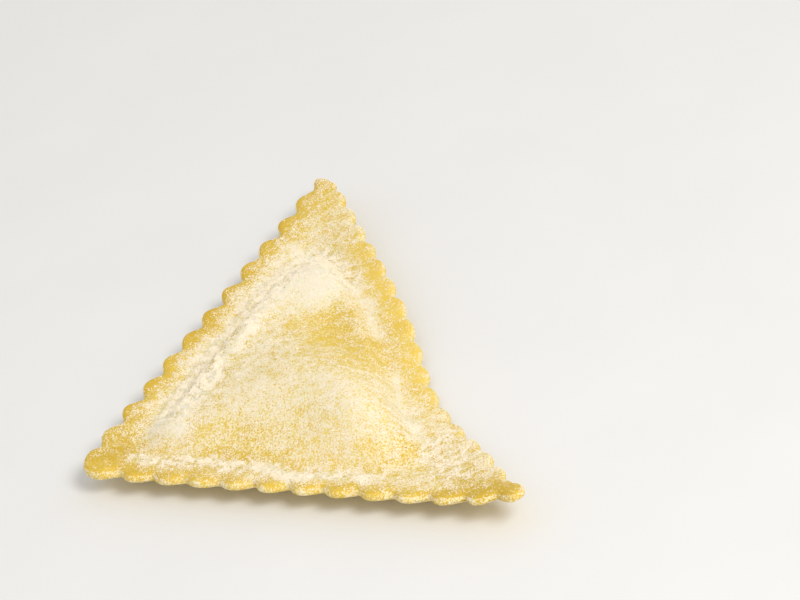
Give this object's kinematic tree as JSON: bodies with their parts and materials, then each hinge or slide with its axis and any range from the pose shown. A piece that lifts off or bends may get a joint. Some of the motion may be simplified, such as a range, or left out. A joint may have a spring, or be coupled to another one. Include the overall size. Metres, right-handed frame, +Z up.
{
  "type": "triangular ravioli",
  "caption": "Raw triangular ravioli: a flat pasta pocket with a soft filled cushion and a fluted flange on all its sides.",
  "frame": {"origin": "centre of the ravioli's box in plan, on the surface that it lies on", "axes": "+Z up through the cushion; the short sides run along X and Y from the square corner at -X -Y; the long side faces +X +Y"},
  "size_m": [0.0628, 0.061, 0.0081],
  "materials": {
    "floured_pasta": "raw egg pasta, dull and dusted with pale flour"
  },
  "bodies": {
    "root": {"ravioli": "floured_pasta"}
  },
  "joints": []
}
